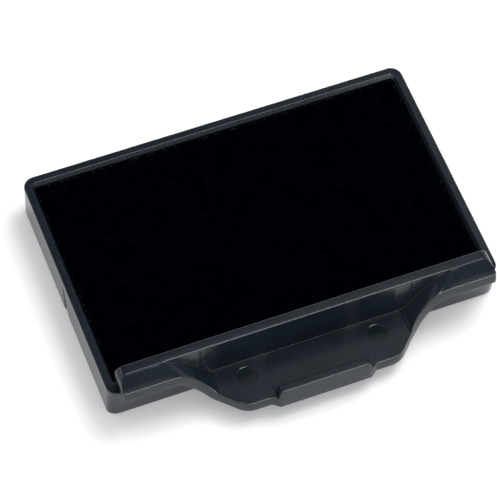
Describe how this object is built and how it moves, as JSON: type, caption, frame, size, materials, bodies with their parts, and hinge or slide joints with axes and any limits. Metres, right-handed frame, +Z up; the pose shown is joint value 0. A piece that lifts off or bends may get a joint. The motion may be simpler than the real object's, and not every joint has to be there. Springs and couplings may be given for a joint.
{
  "type": "ink pad cassette",
  "caption": "Shallow plastic cassette holding an ink-soaked pad, with a raised front wall and a lipped finger tab, that slides into a self-inking hand stamp.",
  "frame": {"origin": "centre of the tray's underside, halfway between its side rims and its front and back rims", "axes": "+X along the tray's long side, -Y out of the front towards the finger tab, +Z up out of the pad"},
  "size_m": [0.055, 0.0428, 0.0099],
  "materials": {
    "tray_plastic": "satin black, injection moulded",
    "felt": "felt soaked in black ink",
    "cover_cloth": "fine woven cloth soaked in black ink"
  },
  "bodies": {
    "root": {"tray": "tray_plastic", "pad_core": "felt", "pad_cloth": "cover_cloth"}
  },
  "joints": []
}
